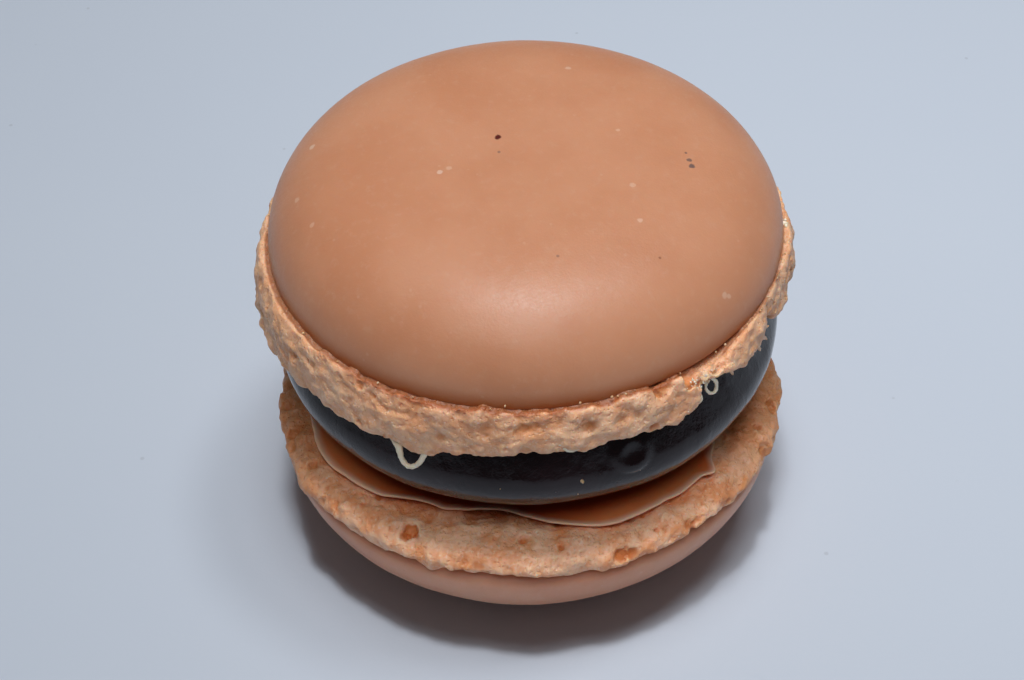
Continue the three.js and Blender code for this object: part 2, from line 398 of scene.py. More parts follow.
CRUMB_VOXEL = 0.162
FOOT_STEPS = 300
WIDTH_LEFT = -22.95  # of the solids, which no foot may pass
WIDTH_RIGHT = 22.8
CRUMB_RELIEF = 0.12  # depth of the finest pores, which are only in the material
LOWER_FOOT_TOP = 12.15
LOWER_FOOT_BOTTOM = 9.0
LOWER_FOOT_REACH = 22.75
LOWER_FOOT_SHOULDER = 20.9
LOWER_FOOT_INNER = 15.8

# In these lists each spot of the view comes with a radius and a depth in millimetres.
BURST_BUBBLE = (((409, 530), 0.75, 0.9), ((404, 535), 0.5, 0.5), ((414, 534), 0.4, 0.5))
ARCHED_HOLLOW = (((622, 557), 0.7, 0.6), ((632, 555), 0.6, 0.5), ((626, 548), 0.28, 0.35))
LOWER_FOOT_PITS = (
    ((405, 512), 0.4, 0.35), ((292, 434), 0.65, 0.75), ((312, 465), 0.5, 0.5), ((286, 405), 0.5, 0.5),
    ((451, 549), 0.4, 0.2), ((464, 562), 0.55, 0.22), ((322, 502), 0.4, 0.22), ((448, 530), 0.35, 0.2),
    ((496, 537), 0.3, 0.16), ((557, 538), 0.22, 0.12), ((657, 530), 0.3, 0.2), ((771, 404), 0.55, 0.65),
    ((728, 502), 0.3, 0.15), ((691, 526), 0.6, 0.4), ((698, 521), 0.4, 0.3), ((672, 538), 0.35, 0.2),
    ((640, 533), 0.3, 0.15), ((450, 519), 1.1, 0.3), ((430, 517), 0.8, 0.25), ((470, 520), 0.8, 0.25),
    ((363, 530), 0.35, 0.15))
LOWER_FOOT_SWELLS = (
    ((345, 505), 0.7, -0.25), ((380, 530), 0.9, -0.25), ((430, 560), 0.8, -0.22), ((500, 552), 0.9, -0.2),
    ((580, 560), 0.8, -0.22), ((660, 500), 0.8, -0.15), ((720, 478), 0.7, -0.2), ((283, 415), 0.5, -0.2))


def humps(azimuth, *each):
    """The sum of smooth humps round the macaron, each (height, middle, width), in degrees."""
    total = 0.0
    for height, middle, width in each:
        gap = (azimuth - middle + 180) % 360 - 180
        total = total + height * np.exp(-((gap / width) ** 2))
    return total


def polar(places):
    """Azimuth in degrees from the front towards +X, and distance from the axis."""
    return np.degrees(np.arctan2(places[:, 0], -places[:, 1])), np.hypot(places[:, 0], places[:, 1])


def from_polar(azimuth, r, z):
    turn = np.radians(azimuth)
    return np.stack([r * np.sin(turn), -r * np.cos(turn), z + 0 * r], axis=-1)


def wander(azimuth, waves, seed):
    """Noise, about -1 to 1, that runs round the macaron and meets itself."""
    ring = from_polar(azimuth, np.full(len(azimuth), waves / 6.0), 0.0)
    return lumps(ring, 1.0, seed)


def lip_radius(azimuth):
    """Where the flat skin's torn edge runs, all round. The skin itself is the next piece."""
    r = 19.8 + humps(azimuth, (-2.4, -10, 17), (0.6, -56, 12), (-1.0, -31, 7), (0.9, 49, 2.2),
                     (0.4, 44, 9), (0.5, 20, 8), (-2.4, 70, 14))
    return r + 0.3 * wander(azimuth, 20, 1.7) + 0.1 * wander(azimuth, 90, 4.1)


def surface_of(piece, places):
    faces = [face.vertices[:] for face in piece.data.polygons]
    return bvhtree.BVHTree.FromPolygons([Vector(p) for p in places], faces)


def met(surface, x, y):
    """The place on a surface under a spot of the view, or the nearest to where it would be."""
    start, line = sight(x, y)
    hit = surface.ray_cast(start, line)[0]
    return hit or surface.find_nearest(start + line * CAMERA_DISTANCE / MM)[0]


class Crumb:
    """A torn ring of crumb in the making: its corners, and how hollow the surface is at each."""

    def __init__(self, name, outline, steps, bend, lumps_baked_on):
        self.piece = spun(name, outline + [outline[0]], steps)
        azimuth, r = polar(corners(self.piece))
        put_corners(self.piece, bend(azimuth, r, corners(self.piece)[:, 2]))
        self.bake_on(lumps_baked_on)
        apply_modifier(self.piece, "REMESH", mode="VOXEL", voxel_size=CRUMB_VOXEL)
        self.places = corners(self.piece)
        self.hollow = np.zeros(len(self.places))

    def bake_on(self, lumps_baked_on):
        """Joins rough lumps, each (place, size, turn), to the ring, for the remesh to melt in."""
        made = [self.piece]
        for place, size, turn in lumps_baked_on:
            bpy.ops.mesh.primitive_ico_sphere_add(subdivisions=2, radius=size, location=place)
            lump = bpy.context.object
            lump.scale = (1.5, 1.0, 0.8)
            lump.rotation_euler = (turn, 2.1 * turn, 1.7 * turn)
            made.append(lump)
        pick(*made)
        bpy.ops.object.join()

    def normals(self):
        put_corners(self.piece, self.places)
        return outward(self.piece)

    def swell(self, size, height, seed):
        """Soft swells and dips, size across."""
        rise = lumps(self.places, size, seed)
        self.places = self.places + self.normals() * (height * rise)[:, None]
        self.hollow -= height * rise

    def press(self, spots):
        """Presses in bubbles, each (place, radius, depth). A negative depth presses out a bump."""
        normals = self.normals()
        finder = kdtree.KDTree(len(self.places))
        for i, place in enumerate(self.places):
            finder.insert(place, i)
        finder.balance()
        before = self.places.copy()
        for place, radius, depth in spots:
            _, nearest, _ = finder.find(place)
            way = normals[nearest]
            found = np.array([i for _, i, _ in finder.find_range(before[nearest], radius * 1.3)])
            offset = before[found] - before[nearest]
            sideways = offset - np.outer(offset @ way, way)
            share = np.minimum(np.sum(sideways * sideways, axis=1) / radius ** 2, 1)
            pushed = depth * (1 - share) ** (0.6 if depth > 0 else 1.2)
            self.places[found] -= way * pushed[:, None]
            self.hollow[found] += 0.9 * pushed

    def seen(self, x, y):
        """The place on the crumb under a spot of the view, before any presses."""
        if not hasattr(self, "surface"):
            self.surface = surface_of(self.piece, self.places)
        return met(self.surface, x, y)

    def pits(self, spots):
        """Presses at spots of the view, each (spot, radius, depth)."""
        self.press([(self.seen(*spot), radius, depth) for spot, radius, depth in spots])

    def groove(self, route, radius, depth):
        """Small presses along a route of spots of the view."""
        spots = []
        for (x0, y0), (x1, y1) in zip(route, route[1:]):
            for share in (0.0, 0.2, 0.4, 0.6, 0.8, 1.0):
                spots.append((self.seen(x0 + (x1 - x0) * share, y0 + (y1 - y0) * share), radius, depth / 2))
        return spots

    def done(self):
        """The finished ring, kept inside the width of the solid it stands for."""
        self.places[:, 0] = np.clip(self.places[:, 0], WIDTH_LEFT, WIDTH_RIGHT)
        put_corners(self.piece, self.places)
        layer = self.piece.data.attributes.new("hollow", "FLOAT", "POINT")
        layer.data.foreach_set("value", np.clip(self.hollow, -1, 1))
        return self.piece


def make_crumb_group():
    """Colour, roughness and height of torn meringue crumb; its colour has painted light on ridges and
    painted shade in hollows. Hollow is 0 on top and 1 deep in a bubble.
    """
    group, given, made = new_group(
        "torn crumb",
        {"Place": "Vector", "Hollow": "Float", "Pale": "Color", "Warm": "Color", "Deep": "Color"},
        {"Color": "Color", "Roughness": "Float", "Height": "Float"})
    at = given["Place"]
    patches = step_up(group, grain(group, at, 2.6 * MM, detail=4, roughness=0.6), 0.38, 0.62)
    colour = mixed(group, patches, given["Pale"], given["Warm"])
    # Painted light: ridges paler than the crumb's own colour.
    ridge = step_up(group, given["Hollow"], -0.06, -0.3, top=0.8)
    colour = mixed(group, ridge, colour, given["Pale"])
    crystals = step_up(group, grain(group, at, 0.32 * MM, detail=3, roughness=0.7), 0.52, 0.7, top=0.45)
    colour = mixed(group, crystals, colour, (0.90, 0.70, 0.55, 1))
    sugar = step_up(group, cells(group, at, 0.45 * MM), 0.25, 0.1)
    some = step_up(group, grain(group, at, 1.6 * MM), 0.5, 0.6)
    glint = sum_of(group, sugar, some, "MULTIPLY")
    colour = mixed(group, sum_of(group, glint, 0.5, "MULTIPLY"), colour, (0.95, 0.84, 0.74, 1))
    # Painted shade: bubbles and hollows turn darker and more orange.
    deep = step_up(group, given["Hollow"], 0.06, 0.4, top=0.92)
    colour = mixed(group, deep, colour, given["Deep"])
    rough = ranged(group, glint, 0.45, 0.15)
    pores = step_up(group, cells(group, at, 0.33 * MM, feature="SMOOTH_F1"), 0.08, 0.35, top=0.6)
    height = sum_of(group, pores, grain(group, at, 0.4 * MM, detail=4, roughness=0.55))
    hand_out(group, made, Color=colour, Roughness=rough, Height=height)
    return group


torn_crumb = make_crumb_group()


def crumb_material(name, **colours):
    """Crumb and its colour, not yet linked to the shader."""
    material, tree, shader, crumb = grouped_material(
        name, torn_crumb, colours, CRUMB_RELIEF, roughness=0.5)
    tree.links.new(add(tree, "Attribute", attribute_name="hollow").outputs["Fac"], crumb.inputs["Hollow"])
    bleed(shader, 0.7, (1.0, 0.6, 0.35), 0.6)
    return material, tree, shader, crumb.outputs["Color"]


def along(tree, axis):
    """The place's coordinate along an axis, in metres."""
    return add(tree, "SeparateXYZ", {0: object_place(tree)}).outputs[axis]


def from_axis(tree):
    """The place's distance from the macaron's axis, in metres."""
    flat = add(tree, "VectorMath", {0: object_place(tree), 1: (1, 1, 0)}, operation="MULTIPLY")
    return add(tree, "VectorMath", {0: flat.outputs["Vector"]}, operation="LENGTH").outputs["Value"]


def scattered(seed, count, azimuths, radii, heights, sizes, depth):
    """Bubbles at random over part of a ring, mostly small: each (place, radius, depth)."""
    draw = random.Random(seed)
    spots = []
    for _ in range(count):
        radius = sizes[0] + (sizes[1] - sizes[0]) * draw.random() ** 4
        place = from_polar(draw.uniform(*azimuths), draw.uniform(*radii), draw.uniform(*heights))
        spots.append((place, radius, radius * depth * draw.uniform(0.6, 1.2)))
    return spots


def rough_lumps(seed, count, radii, heights):
    """Lumps to bake on at random round a ring: each (place, size, turn)."""
    draw = random.Random(seed)
    return [(from_polar(draw.uniform(-180, 180), draw.uniform(*radii), draw.uniform(*heights)),
             draw.uniform(0.25, 0.45), draw.uniform(0, 3)) for _ in range(count)]


section = [(LOWER_FOOT_INNER, LOWER_FOOT_TOP - 1.6), (LOWER_FOOT_INNER, LOWER_FOOT_TOP),
           (17.5, LOWER_FOOT_TOP), (19.2, LOWER_FOOT_TOP)]
foot_middle = (LOWER_FOOT_TOP + LOWER_FOOT_BOTTOM) / 2
foot_half = (LOWER_FOOT_TOP - LOWER_FOOT_BOTTOM) / 2
for i in range(11):
    turn = math.pi * (0.5 - i / 10)
    out = (LOWER_FOOT_REACH - LOWER_FOOT_SHOULDER) * math.cos(turn)
    up = foot_half * math.sin(turn)
    section.append((LOWER_FOOT_SHOULDER + out, foot_middle + up))


def bend_lower_foot(azimuth, r, z):
    """Narrower and wider places, the scalloped lower edge, and the dip outside the skin's lip."""
    below = np.clip((foot_middle - z) / foot_half, 0, 1)
    above = np.clip((z - foot_middle) / foot_half, 0, 1)
    proud = np.clip((r - 20.0) / (LOWER_FOOT_REACH - 20.0), 0, 1)
    wider = humps(azimuth, (-0.7, -98, 26), (-1.6, 110, 19)) + 0.25 * wander(azimuth, 30, 8.8) - 0.06
    scallop = humps(azimuth, (1.0, -4, 6), (0.8, -16, 2.5), (0.6, -30, 4), (0.7, 28, 2.5), (1.7, 39, 5),
                    (-0.4, -42, 3))
    scallop += 0.35 * wander(azimuth, 60, 2.4) * (1 + humps(azimuth, (1.5, 180, 70)))
    scallop += 0.5 * np.abs(wander(azimuth, 130, 6.9))
    outside_lip = r - lip_radius(azimuth)
    dip = (0.18 + humps(azimuth, (0.7, -24, 14))) * np.exp(-(((outside_lip - 0.35) / 0.7) ** 2))
    slope = 0.12 * np.clip(r - 19.0, 0, None)
    under_skin = np.clip(-outside_lip / 1.6, 0, 1)
    return from_polar(azimuth, r + proud * wider, z + below * scallop - above * (dip + slope + under_skin))


crumb = Crumb("lower_shell_foot", section, FOOT_STEPS, bend_lower_foot,
              rough_lumps(12, 60, (20.3, 21.9), (10.0, 11.4)))
crumb.places += (*LOWER_CENTRE, 0)
crumb.swell(2.8, 0.24, 3)
crumb.swell(1.5, 0.20, 5)
crumb.swell(0.8, 0.17, 7)
crumb.pits(BURST_BUBBLE + LOWER_FOOT_PITS + ARCHED_HOLLOW + LOWER_FOOT_SWELLS)
crumb.press(scattered(5, 420, (-180, 180), (17.5, 23.0), (9.2, 12.2), (0.15, 0.5), 0.8))
crumb.press(scattered(6, 130, (60, 300), (19.5, 23.0), (9.2, 12.2), (0.2, 0.8), 0.6))
crumb.swell(0.42, 0.10, 2)
lower_crumb, tree, shader, colour = crumb_material(
    "lower crumb", Pale=(0.91, 0.53, 0.33), Warm=(0.84, 0.35, 0.15), Deep=(0.66, 0.19, 0.04))
sideways = along(tree, "X")
distance = from_axis(tree)
# Darker red-brown near the filling and at the right: partly the filling's stain, partly painted shade under
# its overhang.
stain_and_painted_shade = step_up(tree, distance, 19.2 * MM, 17.4 * MM, top=0.8)
right_stain_and_shade = sum_of(tree, step_up(tree, sideways, 15.5 * MM, 18.0 * MM, top=0.75),
                     step_up(tree, distance, 21.6 * MM, 20.0 * MM), "MULTIPLY")
stain_and_painted_shade = sum_of(tree, stain_and_painted_shade, right_stain_and_shade, "MAXIMUM")
colour = mixed(tree, stain_and_painted_shade, colour, (0.55, 0.14, 0.035, 1))
# Painted shade: the foot darker towards its left and right ends.
sides = step_up(tree, sum_of(tree, sideways, 0.0, "ABSOLUTE"), 14.5 * MM, 21.0 * MM, top=0.65)
tree.links.new(mixed(tree, sides, colour, (0.50, 0.21, 0.08, 1)), shader.inputs["Base Color"])
finish_piece(crumb.done(), lower_crumb, "lower_shell", "lower_shell")


# ---- Lower shell: papery lip of the flat skin ----
# The skin that baked on the paper is thin and smooth, stained by the filling where they meet; its deep red
# and the darkening towards the filling are partly painted shade. Its torn edge curls up a little, and the
# crumb falls away just outside it.

SKIN_THICKNESS = 0.26
SKIN_WIDTH = 8.0
SKIN_RINGS = 26
SKIN_STEPS = 480
LIP_RISE = 0.2
DISH_DEPTH = 0.55
NOMINAL_LIP = 20.0


def skin_fall(inward):
    """How far the skin dips towards the filling, at each distance in from its torn edge."""
    return DISH_DEPTH * (1 - np.exp(-np.clip(inward - 0.3, 0, None) / 1.8))


skin_top = []
for i in range(SKIN_RINGS + 1):
    inward = SKIN_THICKNESS / 2 + (SKIN_WIDTH - SKIN_THICKNESS / 2) * (i / SKIN_RINGS) ** 1.6
    skin_top.append((NOMINAL_LIP - inward, -skin_fall(inward)))
half = SKIN_THICKNESS / 2
section = [(r, z - half) for r, z in reversed(skin_top)]
for i in range(1, 8):
    turn = math.pi * (i / 8 - 0.5)
    section.append((skin_top[0][0] + half * math.cos(turn), half * math.sin(turn)))
section += [(r, z + half) for r, z in skin_top]
lower_skin = spun("lower_shell_skin", section + [section[0]], SKIN_STEPS)
places = corners(lower_skin)
azimuth, r = polar(places)
inward = NOMINAL_LIP - r
curl = np.clip(1 - inward / 1.4, 0, 1) ** 2
z = LOWER_SKIN_HEIGHT - 0.02 + places[:, 2] + curl * LIP_RISE * (0.9 + 0.6 * wander(azimuth, 40, 5.2))
z += 0.05 * lumps(places, 2.4, 8)
put_corners(lower_skin, from_polar(azimuth, lip_radius(azimuth) - inward, z) + np.array((*LOWER_CENTRE, 0)))
edge_layer = lower_skin.data.attributes.new("lip", "FLOAT", "POINT")
edge_layer.data.foreach_set("value", np.clip(1.2 - inward / 0.7, 0, 1))
# The skin's base is a deeper red than the crusts': painted shade and bounce light for a skin that lies in
# shade.
paper_skin, tree, shader, colour = crust_material(
    "papery skin", depth=0.02, Base=(0.97, 0.27, 0.09), Toast=(0.94, 0.23, 0.07), Bloom=(0.97, 0.34, 0.14))
# Redder and darker towards the filling: partly its stain, partly painted shade under it.
stain_and_painted_shade = step_up(tree, from_axis(tree), 19.6 * MM, 16.8 * MM, top=0.9)
colour = mixed(tree, stain_and_painted_shade, colour, (0.60, 0.05, 0.008, 1))
lip = add(tree, "Attribute", attribute_name="lip").outputs["Fac"]
colour = mixed(tree, sum_of(tree, lip, 0.85, "MULTIPLY"), colour, (0.97, 0.62, 0.44, 1))
shader.inputs["IOR"].default_value = 1.33
tree.links.new(colour, shader.inputs["Base Color"])
bleed(shader, 0.6, (1.0, 0.4, 0.2), 0.5)
finish_piece(lower_skin, paper_skin, "lower_shell")


# ---- Filling ----
# A thick, nearly black jelly, piped on and pressed until it bulged. Its skin is smooth and shines
# softly, with smears where it was touched and a bubble that rose under the skin.

FILLING_BOTTOM = 11.4
FILLING_TOP = 23.9
FILLING_RADIUS = 21.6
FILLING_BULGE = 18.7  # height of the widest ring
FILLING_CENTRE = (0.08, 0.25)
FILLING_SEAT_RADIUS = 16.0
FILLING_SEAT_HEIGHT = 12.5
FILLING_LOWER_WIDTH = 4.4  # of the bend below the widest ring
FILLING_LOWER_DROP = 4.0
FILLING_LOWER_TURN = math.radians(48)  # where that bend runs out into the slope down to the seat
FILLING_UPPER_ROUND = 3.2  # radius of the bend above the widest ring
FILLING_LEAN = math.radians(25)  # of the wall above it
FILLING_RINGS = 24
FILLING_STEPS = 420
BUBBLE_RADIUS = 1.75
BUBBLE_SPOT = (632, 453)  # of the view
BUBBLE_RISE = 0.28

filling_bend = []
for i in range(FILLING_RINGS + 1):
    turn = FILLING_LOWER_TURN * (1 - i / FILLING_RINGS)
    filling_bend.append((FILLING_RADIUS - FILLING_LOWER_WIDTH * (1 - math.cos(turn)),
                         FILLING_BULGE - FILLING_LOWER_DROP * math.sin(turn)))
section = [(0, FILLING_BOTTOM), (10, FILLING_BOTTOM), (FILLING_SEAT_RADIUS, FILLING_BOTTOM)]
for i in range(8):
    section.append((FILLING_SEAT_RADIUS + (filling_bend[0][0] - FILLING_SEAT_RADIUS) * i / 8,
                    FILLING_SEAT_HEIGHT + (filling_bend[0][1] - FILLING_SEAT_HEIGHT) * i / 8))
section += filling_bend
for i in range(1, 13):
    turn = FILLING_LEAN * i / 12
    section.append((FILLING_RADIUS - FILLING_UPPER_ROUND * (1 - math.cos(turn)),
                    FILLING_BULGE + FILLING_UPPER_ROUND * math.sin(turn)))
leaning_from = section[-1]
for i in range(1, 17):
    climb = (FILLING_TOP - leaning_from[1]) * i / 16
    section.append((leaning_from[0] - climb * math.tan(FILLING_LEAN), leaning_from[1] + climb))
section += [(10, FILLING_TOP), (0, FILLING_TOP)]
filling = spun("filling_body", section, FILLING_STEPS)
places = corners(filling)
bulging = np.clip((polar(places)[1] - 16) / 4, 0, 1)
swell = 0.14 * lumps(places, 7.0, 6) + 0.03 * lumps(places, 2.2, 1) + 0.006 * lumps(places, 0.6, 5)
places += outward(filling) * (bulging * swell)[:, None]
places += (*FILLING_CENTRE, 0)
put_corners(filling, places)
filling_surface = surface_of(filling, places)
normals = outward(filling)
bubble = np.array(met(filling_surface, *BUBBLE_SPOT))
apart = np.linalg.norm(places - bubble, axis=1) / BUBBLE_RADIUS
rise = BUBBLE_RISE * np.sqrt(np.clip(1 - apart ** 2, 0, 1)) * np.clip(apart * 1.6, 0.35, 1)
places += normals * rise[:, None]
put_corners(filling, places)

jelly, tree, shader = new_material("dark jelly", roughness=0.3, ior=1.46)
at = object_place(tree)
clouds = step_up(tree, grain(tree, at, 7 * MM, detail=3), 0.4, 0.7)
colour = mixed(tree, clouds, (0.0085, 0.0022, 0.0030, 1), (0.019, 0.008, 0.010, 1))
tree.links.new(colour, shader.inputs["Base Color"])
smear = step_up(tree, grain(tree, at, 3 * MM, detail=6, roughness=0.75), 0.46, 0.7)
tree.links.new(ranged(tree, smear, 0.14, 0.34), shader.inputs["Roughness"])
drawn_down = add(tree, "VectorMath", {0: at, 1: (1, 1, 0.5)}, operation="MULTIPLY").outputs["Vector"]
streaks = step_up(tree, grain(tree, drawn_down, 2.2 * MM, detail=5, roughness=0.6), 0.5, 0.75, top=0.6)
relief(tree, shader, sum_of(tree, streaks, grain(tree, at, 1.2 * MM, detail=5, roughness=0.6)), 0.045 * MM)
finish_piece(filling, jelly, "filling", "filling")


# ---- Upper shell: dome ----
# The same baked meringue the right way up: a smooth satin dome, a little higher on its left, with a
# few dark specks of almond skin in the crust and pale scuffs on it.

UPPER_SKIN_HEIGHT = 24.2
UPPER_DOME_RADIUS = 21.5
UPPER_DOME_INNER = 18.6
UPPER_DOME_HEIGHT = 12.4
UPPER_DOME_LEAN = 0.025
UPPER_CENTRE = (0.15, 0.25)
UPPER_TILT = math.radians(-0.4)


def seat_upper(places):
    """From the upper shell's own place, skin down at z = 0, to where it sits on the filling."""
    turn = np.array(Matrix.Rotation(UPPER_TILT, 3, "Y"))
    return places @ turn.T + np.array((*UPPER_CENTRE, UPPER_SKIN_HEIGHT))


section = dome_outline(UPPER_DOME_RADIUS, UPPER_DOME_HEIGHT, UPPER_DOME_INNER)
upper_dome = spun("upper_shell_dome", section, DOME_STEPS)
places = corners(upper_dome)
rise = np.clip((places[:, 2] - DOME_EDGE_HEIGHT) / (UPPER_DOME_HEIGHT - DOME_EDGE_HEIGHT), 0, 1)
places += outward(upper_dome) * (0.07 * lumps(places, 10.0, 2) + 0.015 * lumps(places, 2.5, 3))[:, None]
places[:, 2] -= UPPER_DOME_LEAN * places[:, 0] * rise + 0.05
put_corners(upper_dome, seat_upper(places))


def make_speck_group():
    """A ragged blot round a centre: 1 inside its reach and 0 outside."""
    group, given, made = new_group("speck", {"Place": "Vector", "Centre": "Vector", "Reach": "Float"},
                                   {"Mask": "Float"})
    ragged = add(group, "TexNoise", {"Vector": given["Place"], "Scale": 1 / (0.35 * MM), "Detail": 2.0})
    apart = add(group, "VectorMath", {0: given["Place"], 1: given["Centre"]}, operation="DISTANCE")
    share = sum_of(group, apart.outputs["Value"], given["Reach"], "DIVIDE")
    share = sum_of(group, share, sum_of(group, ragged.outputs["Fac"], 0.5, "SUBTRACT"))
    group.links.new(step_up(group, share, 1.05, 0.6), made["Mask"])
    return group


speck = make_speck_group()

ALMOND_RED = (0.10, 0.012, 0.008)
ALMOND_GREY = (0.14, 0.09, 0.08)
SCUFF_PALE = (0.72, 0.50, 0.38)
# In these lists each spot of the view comes with a reach in millimetres and a strength.
RED_SPECKS = (((498, 137), 0.34, 1.0), ((660, 258), 0.14, 0.5))
GREY_SPECKS = (
    ((499, 152), 0.16, 0.6), ((692, 166), 0.30, 0.9), ((689, 160), 0.26, 0.8), ((686, 153), 0.16, 0.8),
    ((558, 256), 0.14, 0.5))
PALE_SCUFFS = (
    ((312, 147), 0.35, 0.6), ((440, 172), 0.28, 0.6), ((449, 168), 0.30, 0.35), ((568, 68), 0.30, 0.45),
    ((633, 185), 0.32, 0.35), ((640, 220), 0.28, 0.45), ((725, 295), 0.34, 0.4), ((729, 296), 0.26, 0.4),
    ((297, 200), 0.30, 0.35), ((312, 225), 0.28, 0.35), ((618, 130), 0.22, 0.4))

upper_crust, tree, shader, colour = crust_material(
    "upper crust", depth=0.028, Base=(0.55, 0.25, 0.138), Toast=(0.51, 0.216, 0.112),
    Bloom=(0.60, 0.35, 0.235))
dome_surface = surface_of(upper_dome, corners(upper_dome))
for tint, blots in ((ALMOND_RED, RED_SPECKS), (ALMOND_GREY, GREY_SPECKS), (SCUFF_PALE, PALE_SCUFFS)):
    for spot, reach, strength in blots:
        made = add(tree, "Group", node_tree=speck)
        tree.links.new(object_place(tree), made.inputs["Place"])
        made.inputs["Centre"].default_value = met(dome_surface, *spot) * MM
        made.inputs["Reach"].default_value = reach * MM
        colour = mixed(tree, sum_of(tree, made.outputs["Mask"], strength, "MULTIPLY"), colour, (*tint, 1))
# Darker orange-brown towards the dome's lower rim: partly browning, partly painted shade by the crease.
browned_and_crease_shade = step_up(tree, along(tree, "Z"), 29.9 * MM, 28.5 * MM, top=0.9)
colour = mixed(tree, browned_and_crease_shade, colour, (0.44, 0.13, 0.035, 1))
tree.links.new(colour, shader.inputs["Base Color"])
finish_piece(upper_dome, upper_crust, "upper_shell", "upper_shell")


# ---- Upper shell: torn foot ----
# A narrower foot than the lower one, paler and softer, that hangs like a short skirt over the
# filling at the front left and is broken away at the front right.

UPPER_FOOT_INNER = 19.9
UPPER_CREASE_RADIUS = 21.45
UPPER_FOOT_REACH = 22.75
UPPER_FOOT_TOP = 4.5
UPPER_FOOT_BOTTOM = -0.4
UPPER_FOOT_WIDEST = 0.7  # height above the skin

# Again each spot comes with a radius and a depth.
UPPER_FOOT_PITS = (
    ((486, 431), 0.85, 0.32), ((443, 437), 0.7, 0.16), ((586, 427), 0.8, 0.25), ((594, 426), 0.6, 0.18),
    ((360, 385), 0.45, 0.25), ((338, 377), 0.38, 0.25), ((311, 367), 0.42, 0.3), ((306, 361), 0.35, 0.25),
    ((293, 355), 0.45, 0.28), ((512, 433), 0.5, 0.15), ((522, 430), 0.55, 0.18), ((533, 427), 0.55, 0.16),
    ((541, 428), 0.4, 0.12), ((558, 443), 0.4, 0.2), ((358, 422), 0.22, 0.25), ((506, 450), 0.22, 0.25),
    ((664, 386), 0.9, 0.5), ((690, 376), 0.8, 0.6), ((655, 428), 0.5, 0.4), ((620, 418), 0.5, 0.12),
    ((460, 415), 0.5, 0.14), ((700, 385), 0.4, 0.25))
UPPER_FOOT_SWELLS = (
    ((327, 356), 0.7, -0.28), ((355, 371), 0.7, -0.28), ((374, 383), 0.7, -0.28),
    ((401, 396), 0.7, -0.25), ((484, 410), 0.6, -0.3), ((478, 413), 0.35, -0.2), ((440, 415), 0.8, -0.2),
    ((545, 415), 0.7, -0.2), ((640, 405), 0.7, -0.2), ((515, 444), 0.7, -0.15), ((420, 432), 0.9, -0.15),
    ((760, 330), 0.6, -0.25), ((745, 348), 0.6, -0.25), ((790, 262), 0.6, -0.2))
LEFT_TEAR = ((368, 393), (385, 409), (405, 414))  # routes through spots of the view
FRONT_TEAR = ((430, 401), (470, 404), (540, 408), (600, 404))

section = [(UPPER_FOOT_INNER, UPPER_FOOT_BOTTOM + 0.1), (UPPER_FOOT_INNER, UPPER_FOOT_TOP - 0.4)]
for i in range(13):
    turn = math.pi / 2 * i / 12
    out = (UPPER_FOOT_REACH - UPPER_CREASE_RADIUS) * math.sin(turn) ** 1.1
    up = (UPPER_FOOT_TOP - UPPER_FOOT_WIDEST) * math.cos(turn) ** 1.1
    section.append((UPPER_CREASE_RADIUS + out, UPPER_FOOT_WIDEST + up))
for i in range(1, 7):
    turn = math.pi / 2 * i / 6
    down = (UPPER_FOOT_BOTTOM - UPPER_FOOT_WIDEST) * math.sin(turn)
    section.append((UPPER_FOOT_REACH - 1.6 * (1 - math.cos(turn)), UPPER_FOOT_WIDEST + down))


def bend_upper_foot(azimuth, r, z):
    """The skirt at the left, the hollow sides, the broken edge at the right and the ridge by the crease."""
    below = np.clip((2.2 - z) / 1.6, 0, 1)
    above = np.clip((z - 2.2) / 1.6, 0, 1)
    proud = np.clip((r - UPPER_CREASE_RADIUS) / (UPPER_FOOT_REACH - UPPER_CREASE_RADIUS), 0, 1)
    wider = humps(azimuth, (0.3, -74, 20), (-0.6, -118, 22), (-0.7, 66, 10), (-0.5, 115, 20),
                  (-0.15, 92, 12)) + 0.15 * wander(azimuth, 30, 6.3)
    sag = humps(azimuth, (1.3, -42, 24), (1.4, -72, 14), (0.3, -10, 8), (0.3, 10, 4), (0.45, 28, 6),
                (-0.9, 52, 7), (-2.0, 63, 3.5), (1.0, -22.5, 5), (-1.5, 43.5, 2.5), (-1.2, 38.5, 2.5))
    broken = np.clip((azimuth - 35.5) / 1.5, 0, 1) * np.clip((50 - azimuth) / 12, 0, 1)
    torn = 0.4 * np.abs(wander(azimuth, 130, 9.4)) * (1 + humps(azimuth, (0.8, 45, 20)))
    sag += 0.12 * wander(azimuth, 80, 3.3) - 1.5 * broken - torn
    ridge = (0.15 + 0.4 * wander(azimuth, 95, 7.7)) * np.exp(-(((r - 22.2) / 0.35) ** 2))
    valley = 0.65 * np.exp(-(((r - UPPER_CREASE_RADIUS - 0.15) / 0.3) ** 2))
    sunk = humps(azimuth, (0.9, 41, 7))
    return from_polar(azimuth, r + proud * wider, z - below * sag + above * (ridge - valley - sunk))


